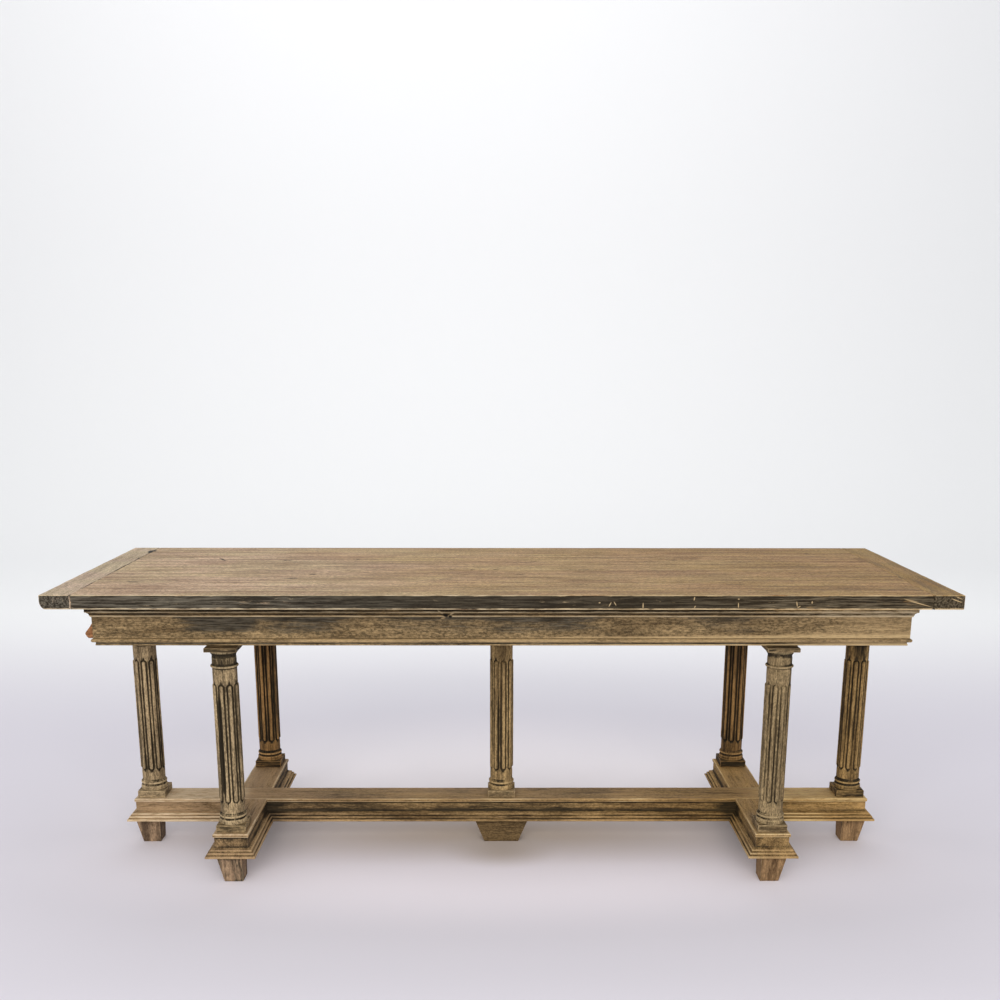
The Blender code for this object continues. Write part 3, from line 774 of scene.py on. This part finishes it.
def rail_section(low, high, thickness):
    """A rail's face, with a step along its foot for the astragal, from bottom to top, and how
    far the step stands out."""
    bead_low, bead_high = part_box("astragal_front")
    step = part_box("front_rail")[0].y - bead_high.y - GAP
    shelf = bead_high.z + GAP
    rows = [(-thickness, low)]
    rows += placed(step, low, ((-1.6, 0), (-0.4, 0.4), (0.9, 0.9), (1.5, 1.6)))
    rows += placed(step, low + 3.4 * MM, ((1.5, 0), (1.1, 0.6), (0.1, 0.9), (0, 1.6)))
    rows += [(step, bead_low.z), (step, shelf)] + placed(0, shelf, ((-1.4, 0), (-0.4, 0.3)))
    rows += [(0, z) for z in np.linspace(shelf + 1.2 * MM, 0.7400, 11)]
    return rows + [(0, high), (-thickness, high)], step


def build_apron():
    low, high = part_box("front_rail")
    section, step = rail_section(low.z, high.z, high.y - low.y)
    run, face = high.x + GAP, -low.y
    strip("front_rail", section, run, face, 0, FRIEZE_OAK, frieze_grime, (step, 0.0), frieze_rub)
    strip("back_rail", section, run, face, 180, FRIEZE_OAK, 0.1, (step, 0.0))
    run = -high.y - GAP  # the end rails stand between the long rails
    low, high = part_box("end_rail_right")
    section, step = rail_section(low.z, high.z, high.x - low.x)
    for name, degrees in (("end_rail_left", 270), ("end_rail_right", 90)):
        strip(name, section, run, high.x, degrees, FRIEZE_OAK, 0.08, (0.0, 0.0))


def build_corner_block():
    """The lump of redder wood let on to the left end of the front rail."""
    low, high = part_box("corner_repair_block")
    arris = 0.0022
    points, faces = block(low, high, (0.003, 0.003, 0.003), arris)
    moved, turn = rounded(points, low, high, arris)
    heights, depths = (0.0, 0.12, 0.3, 0.42, 0.6, 0.8, 1.0), (0.6, 0.82, 1.0, 0.92, 0.62, 0.3, 0.06)
    depth = np.interp((moved[:, 2] - low.z) / (high.z - low.z), heights, depths)
    part = (high.x - moved[:, 0]) / (high.x - low.x)
    moved[:, 0] = high.x - part * depth * (high.x - low.x)
    add_piece("corner_repair_block", (moved, faces), CORNER_OAK, 0, turn * 0.6 + 0.1, 0.0)


# ---- Columns ----

RIBS = 9
PITCH = 22.8  # of the reeds, in millimetres round the column
# Height above the bare shaft at a distance from the middle line of a reed, in millimetres
REED = (
    (0.0, 2.2), (2.0, 2.1), (3.4, 1.7), (4.4, 1.0), (5.1, 0.0), (5.7, -1.4),
    (6.5, -2.5), (7.8, -2.5), (8.7, -1.0), (9.3, -0.1), (10.4, 0.0),
)
# How black it is at a distance from the middle line of a reed, in millimetres
GROOVE = ((4.2, 0.0), (5.0, 0.7), (5.7, 1.0), (8.5, 1.0), (9.3, 0.45), (10.2, 0.15))
CROWN = 4.2  # half the width of the rubbed crown of a reed, in millimetres
SHAFT_RADIUS = 0.0310
REED_END = 0.0055  # a reed's rounded end has this radius
REED_HEIGHTS = (0.2175, 0.5295)


def column_profile(foot, cap):
    """(radius, z) up a column, from its lowest moulding to its highest."""
    rows = placed(0, foot, ((33.5, 0), (35.2, 0.6)))
    rows += curve((0.0352, foot + 0.6 * MM), (0.0352, foot + 10.4 * MM), -0.085, 7)[1:]
    rows += placed(0, foot, ((34.2, 11.6), (33.4, 12.8)))
    rows += curve((0.0332, foot + 13.4 * MM), (0.0332, foot + 17.0 * MM), 0.12, 4)
    rows += placed(0, foot, ((34.5, 17.8), (35.0, 18.6), (35.0, 21.4), (34.5, 22.4), (33.0, 23.2)))
    rows += curve((0.0326, foot + 24.2 * MM), (SHAFT_RADIUS, foot + 31.0 * MM), 0.12, 5)
    low, high = REED_HEIGHTS
    for heights in (
        (foot + 40 * MM, foot + 50 * MM),
        np.arange(low - 3 * MM, low + 9 * MM, 1.2 * MM),
        np.linspace(low + 12 * MM, high - 12 * MM, 22),
        np.arange(high - 9 * MM, high + 3 * MM, 1.2 * MM),
        (0.5450, 0.5590, 0.5705),
    ):
        rows += [(SHAFT_RADIUS, z) for z in heights]
    rows += [(0.0308, 0.5728), (0.0322, 0.5740), (0.0340, 0.5746), (0.0350, 0.5758)]
    rows += [(0.0353, 0.5772), (0.0348, 0.5786), (0.0334, 0.5796), (0.0316, 0.5800)]
    rows += [(SHAFT_RADIUS, z) for z in (0.5812, 0.5860, 0.5930, 0.5985)]
    rows += curve((0.0306, 0.6000), (0.0336, 0.6105), 0.13, 6)
    rows += [(0.0337, 0.6116), (0.0344, 0.6122), (0.0350, 0.6130)]
    rows += placed(0, cap, ((35.0, -1.2), (34.6, -0.3), (33.8, 0)))
    return np.array(rows)


def column_looks(look, angle, distance, z, flat, wear, hollow):
    """(wear, grime) of a column. angle is from the way to the camera, in degrees, distance is
    from the middle line of the nearest reed, and wear and hollow are those of the profile."""
    seed = seed_of(look.name)

    def uneven(size, number):
        return noise(flat, size, seed + number).reshape(distance.shape)

    low, high = REED_HEIGHTS
    groove = np.interp(distance, *np.array(GROOVE).T)
    reeded = smooth(low - 4 * MM, low + MM, z) * fade(high - MM, high + 4 * MM, z)
    groove = np.where(distance > 10.3, groove * reeded, groove)
    if look.name.endswith("_back"):
        groove = groove**0.8
    head = (smooth(0.600, 0.612, z) * 0.3 + smooth(0.560, 0.580, z) * 0.2) * look.head
    if look.name == "right_outer":  # dirtier above and below its reeds
        head = head + 0.45 * smooth(0.52, 0.55, z) + 0.4 * fade(0.20, 0.23, z)
    smear = 0.0
    if look.name == "left_front":  # black in one groove, left of the middle as seen from the front
        beside_front = (angle + 180) % 360 - 180
        smear = fade(6, 14, np.abs(beside_front + 35)) * smooth(0.23, 0.27, z) * fade(0.44, 0.52, z)
    broken = (1.0 + 0.9 * uneven((0.025, 0.025, 0.02), 9)) * look.mouldings
    black = look.groove * (1 + 0.3 * uneven((0.03, 0.03, 0.16), 8))
    patchy = 0.3 * uneven((0.03, 0.03, 0.12), 7)
    dirt = hollow * broken + groove * black + head + 0.06 + patchy + 2.2 * smear
    crown = np.clip(1 - distance / CROWN, 0, 1) ** 0.6
    rubbed = np.clip(wear * 0.85 + crown * 0.65 + 0.08 - smear, 0, 1.4)
    return rubbed * (1 - 0.8 * np.clip(groove, 0, 1)), np.clip(dirt, 0, 2)


def build_column(look, toward):
    """A column, with toward the way to the camera from it, in degrees."""
    name = "column_" + look.name
    low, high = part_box(name)
    centre = (low + high) / 2
    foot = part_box("plinth_block_" + look.name)[1].z + GAP
    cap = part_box("abacus_" + look.name)[0].z - GAP
    profile = column_profile(foot, cap)
    wear, hollow = relief(profile, 0.0024)
    places = [distance for distance, _ in REED[:-1]] + [PITCH / 2]
    offsets = np.array([-d for d in places[-2:0:-1]] + places) / PITCH
    turns = (np.arange(RIBS)[:, None] + offsets[None, :]).ravel() * 2 * math.pi / RIBS
    beside = np.tile(np.abs(offsets) * PITCH, RIBS)
    z = profile[:, 1][:, None]
    past = np.maximum(0, np.maximum(REED_HEIGHTS[0] + REED_END - z, z - REED_HEIGHTS[1] + REED_END))
    distance = np.hypot(np.broadcast_to(beside[None, :], (len(profile), len(beside))), past * 1000)
    radius = profile[:, 0][:, None] + np.interp(distance, *np.array(REED).T) * MM
    angle = turns + math.radians(toward + look.turn)
    rings = np.stack(np.broadcast_arrays(radius * np.cos(angle), radius * np.sin(angle), z), -1)
    flat = rings.reshape(-1, 3)
    seed = seed_of(look.name)
    wobble = 1 + 0.008 * noise(flat, (0.02, 0.02, 0.10), seed) + 0.006 * noise(flat, 0.009, seed + 3)
    flat[:, :2] *= wobble[:, None]
    from_camera = np.degrees(angle) - toward
    wear, dirt = column_looks(look, from_camera, distance, z, flat, wear[:, None], hollow[:, None])
    points, faces = tube(rings)
    points = points + np.array([centre.x, centre.y, 0])
    oak = COLUMN_OAKS[look.name]
    add_piece(name, (points, faces), oak, 2, wear.ravel(), dirt.ravel(), sharp=50)


def build_columns():
    camera = Vector(CAMERA_AT)
    for look in COLUMNS:
        low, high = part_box("column_" + look.name)
        toward = math.degrees(math.atan2(camera.y - low.y, camera.x - (low.x + high.x) / 2))
        build_column(look, toward)
        same = look.name.endswith(("_back", "_outer"))
        plinth_oak = COLUMN_OAKS[look.name] if same else OAK
        for kind, step, arris, material, grime in (
            ("abacus_", 0.004, 0.0013, OAK, look.cap),
            ("plinth_block_", 0.006, 0.0016, plinth_oak, look.foot),
        ):
            name = kind + look.name
            slab(name, *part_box(name), (0.008, 0.008, step), arris, material, grime)


# ---- Base ----

# Up a beam's side: (how far it stands out from the side, height above its bottom), millimetres
BEAM_SECTION = (
    (15.0, 0.0), (17.4, 0.2), (18.7, 1.1), (19.0, 2.4), (19.0, 4.8), (18.6, 6.0), (17.2, 6.7),
    (14.8, 7.1), (13.5, 7.5), (13.2, 8.3), (13.7, 9.3), (13.9, 11.2), (13.5, 13.0), (12.2, 14.0),
    (10.0, 14.6), (8.6, 15.1), (8.1, 16.0), (8.4, 17.2), (8.1, 19.0), (6.8, 20.3), (4.4, 21.3),
    (1.2, 22.8), (-1.6, 24.4), (-2.8, 26.0), (-3.0, 28.0), (-3.0, 34.0), (-3.0, 40.0),
    (-3.0, 46.0), (-3.0, 50.6), (-2.8, 51.4), (-1.6, 51.9), (-0.5, 52.3), (0.0, 53.4),
    (0.0, 56.5), (0.0, 59.4), (-0.4, 60.5), (-1.5, 61.1), (-5.0, 61.1), (-12.0, 61.1),
)
LIP = 19.0 * MM  # the furthest that the moulding stands out
ARM_WEAR = {"arm_left_front": 0.2, "arm_right_front": 0.1}


def beside_joint(name, points):
    """1 in the inner corners where the arms meet the long stretcher, 0 away from them."""
    on_stretcher = name == "long_stretcher"
    place = points[:, 0 if on_stretcher else 1]
    near = 0.0
    for other in ("arm_left_front", "arm_right_front") if on_stretcher else ("long_stretcher",):
        low, high = (corner[0 if on_stretcher else 1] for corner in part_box(other))
        near = np.maximum(near, fade(-0.01, 0.05, np.maximum(low - place, place - high)))
    return near


def beam_looks(name, points, above, wear, hollow):
    """(wear, grime) of a beam, from those of its section. above is the height over its bottom,
    in millimetres. The ends are cleaner than the rest, the hollow of the fascia is black, and
    the top is paler, partly from wear and partly as painted light from above."""
    x, from_end = points[:, 0], points[:, 1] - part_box(name)[0].y - LIP
    stretcher = name == "long_stretcher"
    left_end = smooth(0.66, 0.80, -x)
    clean = np.maximum(smooth(0.60, 0.85, x), left_end)
    fascia = smooth(22, 27, above) * fade(50, 52, above) * (1 - 0.3 * smooth(0.0, 0.3, x))
    broken = 0.85 + 0.6 * noise(points, (0.03, 0.03, 0.01), seed_of(name) + 6)
    if name.endswith("front"):
        most = 0.5 if "right" in name else 0.1
        clean = np.maximum(0.5 * clean, most * fade(0.03, 0.08, from_end))
        broken = broken * 0.6
        fascia = fascia * (0.55 + 0.75 * smooth(28, 46, above))
    hollow = hollow * broken * (1 - 0.4 * clean) + (0.48 - 0.42 * clean) * fascia
    wear = wear * np.where(above < 24, 0.9 if stretcher else 1.05, 1.5)
    # The top face is paler: partly wear, partly painted light from above.
    wear = np.maximum(wear, 0.95 * smooth(60.0, 61.0, above)) + 0.35 * clean
    if stretcher:
        wear = wear + 0.7 * left_end + 0.45 * smooth(0.6, 0.8, x)
    hollow = hollow + 0.75 * beside_joint(name, points) * fade(50, 56, above)
    return wear + ARM_WEAR.get(name, 0), hollow


def beam(name, along, scribed=None):
    """A beam moulded all round. Its side towards the long stretcher, named by scribed, is cut to
    the stretcher's moulding."""
    low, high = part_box(name)
    bottom = low.z
    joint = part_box("long_stretcher")[1].y - LIP + GAP
    x0, x1 = low.x + LIP, high.x - LIP
    y0 = joint if scribed == "front" else low.y + LIP
    y1 = -joint if scribed == "back" else high.y - LIP
    section = np.array(BEAM_SECTION) * MM
    wear, hollow = relief(section, 0.0024)
    xs, ys = (spaced(-1, 1, 0.014 * 2 / run, 0.004 * 2 / run) for run in (x1 - x0, y1 - y0))
    across, up = np.ones(len(xs)), np.ones(len(ys) - 2)
    around = np.stack([
        np.concatenate([xs, up, xs[::-1], -up]),
        np.concatenate([-across, ys[1:-1], across, ys[1:-1][::-1]]),
        np.zeros(2 * len(xs) + 2 * len(ys) - 4),
    ], -1)
    rings = []
    corner = []
    for reach, z in section:
        low = np.array([x0 - reach, y0 - reach, -1.0])
        high = np.array([x1 + reach, y1 + reach, 2.0])
        if scribed == "back":
            high[1] = y1 - max(reach, -1.5 * MM)
        if scribed == "front":
            low[1] = y0 + max(reach, -1.5 * MM)
        points = around * ((high - low) / 2) + (low + high) / 2
        points[:, 2] = bottom + z
        points, turn = rounded(points, low, high, 0.0009)
        rings.append(points)
        corner.append(turn)
    shape = (len(section), len(around), 3)
    flat = np.array(rings).reshape(-1, 3)
    wear = np.maximum(np.repeat(wear, shape[1]), np.array(corner).ravel() * 0.8)
    above = (flat[:, 2] - bottom) / MM
    wear, dirt = beam_looks(name, flat, above, wear, np.repeat(hollow, shape[1]))
    seed = seed_of(name)
    worn = wear * (0.5 + 0.5 * noise(flat, (0.04, 0.04, 0.006), seed)) * 0.0007
    worn = worn + (0.5 + 0.5 * noise(flat, (0.02, 0.02, 0.012), seed + 2)) * 0.0006
    on_y_side = np.tile(np.abs(around[:, 1]) >= 0.999999, shape[0])[:, None]
    outward = np.sign(flat - np.array([(x0 + x1) / 2, (y0 + y1) / 2, 0]))
    flat = flat - outward * np.where(on_y_side, (0, 1, 0), (1, 0, 0)) * worn[:, None]
    points, faces = tube(flat.reshape(shape), closed_ends=False)
    long, short = (len(xs), len(ys)) if along == 0 else (len(ys), len(xs))
    for row in (0, shape[0] - 1):
        ring = np.roll(np.arange(shape[1]), 0 if along == 0 else 1 - short) + row * shape[1]
        faces += lid(ring.tolist(), long, short)
    wear = wear * (0.8 + 0.3 * noise(points, (0.12, 0.12, 0.03), seed + 9))
    add_piece(name, (points, faces), BEAM_OAK, along, wear, np.clip(dirt + 0.1, 0, 1.2))


def build_beams():
    beam("long_stretcher", 0)
    for end in ("left", "right"):
        beam(f"arm_{end}_front", 1, "back")
        beam(f"arm_{end}_back", 1, "front")


def build_feet():
    """Tapered blocks, narrower at the floor and set outwards there."""
    narrow, wide, outset = 0.0245, 0.048, 0.011
    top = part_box("long_stretcher")[0].z - GAP
    for name in (look.name for look in COLUMNS):
        low, high = (np.array(corner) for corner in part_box("foot_" + name))
        high[2] = top
        points, faces = block(low, high, (0.006, 0.006, 0.006), 0.0030)
        arris = 0.0014 * (1 + 0.5 * noise(points, 0.02, seed_of("foot" + name)))
        arris = arris + 0.0006 * fade(0.0, 0.02, points[:, 2])
        moved, turn = rounded(points, low, high, arris)
        column_low, column_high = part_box("column_" + name)
        centre = np.array((column_low + column_high) / 2)[:2]
        if name != "centre":
            out = centre * ((1, 0) if abs(centre[1]) < 0.01 else (0, 1))
            centre = centre + out / np.linalg.norm(out) * outset
        half = (wide if name == "centre" else narrow, narrow)
        foot_low, foot_high = centre - half, centre + half
        part = (moved[:, :2] - low[:2]) / (high[:2] - low[:2])
        up = (moved[:, 2] / top)[:, None]
        moved[:, :2] = (foot_low + part * (foot_high - foot_low)) * (1 - up) + moved[:, :2] * up
        z = moved[:, 2]
        # Painted shade in the grime: darker along the floor and just under the stretcher, where shadow
        # falls, and darker all over on the left front foot, as shade against the light that falls on it
        # from the front.
        dirt = 0.5 * fade(0.0, 0.006, z) + 0.6 * smooth(0.060, 0.074, z)
        dirt = np.clip(dirt + (0.48 if name == "left_front" else 0.0), 0, 1)
        along = 0 if name == "centre" else 2
        material = FOOT_OAKS.get(name, RED_OAK)
        add_piece("foot_" + name, (moved, faces), material, along, turn, dirt)


def finish_bearers():
    """The bearers hidden in the apron are as sawn, so they keep their CAD shapes."""
    for name, axis in (("centre_bearer", 0), ("cross_bearer_left", 1), ("cross_bearer_right", 1)):
        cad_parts[name].material_slots[0].material = BEARER_OAK[axis]


# ---- Stage ----

# Ovals painted on the floor, ((middle), (half sizes), share of it that is full, colour): painted
# light behind and before the table, a brown painted shadow under its stretcher and a darker
# painted shadow by its middle foot
FLOOR_PAINTED_LIGHT_AND_SHADOW = (
    ((0.0, 0.40), (1.50, 1.00), 0.3, (241, 236, 241)),
    ((0.0, -0.18), (1.45, 0.45), 0.3, (249, 243, 251)),
    ((0.0, 0.03), (1.25, 0.25), 0.0, (194, 180, 168)),
    ((0.0, -0.08), (0.18, 0.15), 0.0, (202, 190, 182)),
)


def build_stage():
    """A floor that curves up into a wall far behind."""
    half_width, front, back, rise, bend = 14.0, -9.0, 5.0, 7.0, 2.5
    line = [(front, 0.0)] + [(y, 0.0) for y in np.linspace(-2.0, back, 30)]
    for turn in (math.pi / 2 * i / 16 for i in range(1, 17)):
        line.append((back + bend * math.sin(turn), bend * (1 - math.cos(turn))))
    line.append((back + bend, rise))
    points = [(x, y, z) for y, z in line for x in (-half_width, half_width)]
    faces = [(k, k + 1, k + 3, k + 2) for k in range(0, len(points) - 2, 2)]
    mesh = bpy.data.meshes.new("studio_floor")
    mesh.from_pydata(points, [], faces)
    mesh.shade_smooth()
    paper = Surface("paper")
    paper.shader["Roughness"].default_value = 0.9
    paper.shader["Specular IOR Level"].default_value = 0.0
    _, y, _ = paper.axes(paper.place)
    colour = paper.mix(paper.ramp(y, 0.8, 3.4), linear((223, 219, 227)), linear((248, 248, 248)))
    # Painted light and shadow on the floor: paler ovals before and behind the table, a brown shadow
    # under the stretcher and a darker one by the middle foot.
    for middle, size, full, tone in FLOOR_PAINTED_LIGHT_AND_SHADOW:
        colour = paper.mix(paper.mark(middle, size, full=full), colour, linear(tone))
    paper.put(paper.shader["Base Color"], colour)
    mesh.materials.append(paper.material)
    add_object("studio_floor", mesh)


def build_lights():
    world = bpy.data.worlds.new("studio")
    bpy.context.scene.world = world
    world.use_nodes = True
    sky = world.node_tree.nodes["Background"].inputs
    sky["Color"].default_value = (0.95, 0.97, 1.0, 1.0)
    sky["Strength"].default_value = 0.66
    for name, at, aim, size, watts, colour in (
        ("softbox_front", (-0.3, -5.0, 2.4), (0, 0, 0.4), (6.0, 2.5), 222, (1.0, 0.975, 0.93)),
        ("softbox_back", (0, 3.4, 2.6), (0, 0, 0.2), (5.0, 2.0), 16, (1, 1, 1)),
        ("softbox_wall", (-0.7, 3.0, 6.5), (-0.3, 7.5, 3.0), (6.0, 2.0), 110, (1, 1, 1)),
    ):
        light = bpy.data.lights.new(name, "AREA")
        light.shape = "RECTANGLE"
        light.size, light.size_y = size
        light.energy = watts
        light.color = colour
        lamp = add_object(name, light)
        lamp.location = at
        lamp.rotation_euler = (Vector(aim) - Vector(at)).to_track_quat("-Z", "Y").to_euler()
    bpy.context.scene.view_settings.view_transform = "Standard"


def build_camera():
    """A camera where the photo's was, as fitted to the corners of the table."""
    data = bpy.data.cameras.new("camera")
    data.sensor_width = SENSOR
    data.lens = LENS
    data.shift_y = CAMERA_SHIFT
    data.clip_end = 60
    camera = add_object("camera", data)
    stand = Matrix.Translation(CAMERA_AT)
    up = math.pi / 2 - CAMERA_DOWN
    for turn, axis in ((-CAMERA_RIGHT, "Z"), (up, "X"), (CAMERA_ROLL, "Z")):
        stand = stand @ Matrix.Rotation(turn, 4, axis)
    camera.matrix_world = stand
    bpy.context.scene.camera = camera


build_camera()
build_stage()
build_lights()
build_top()
build_mouldings()
build_apron()
build_corner_block()
build_columns()
build_beams()
build_feet()
finish_bearers()
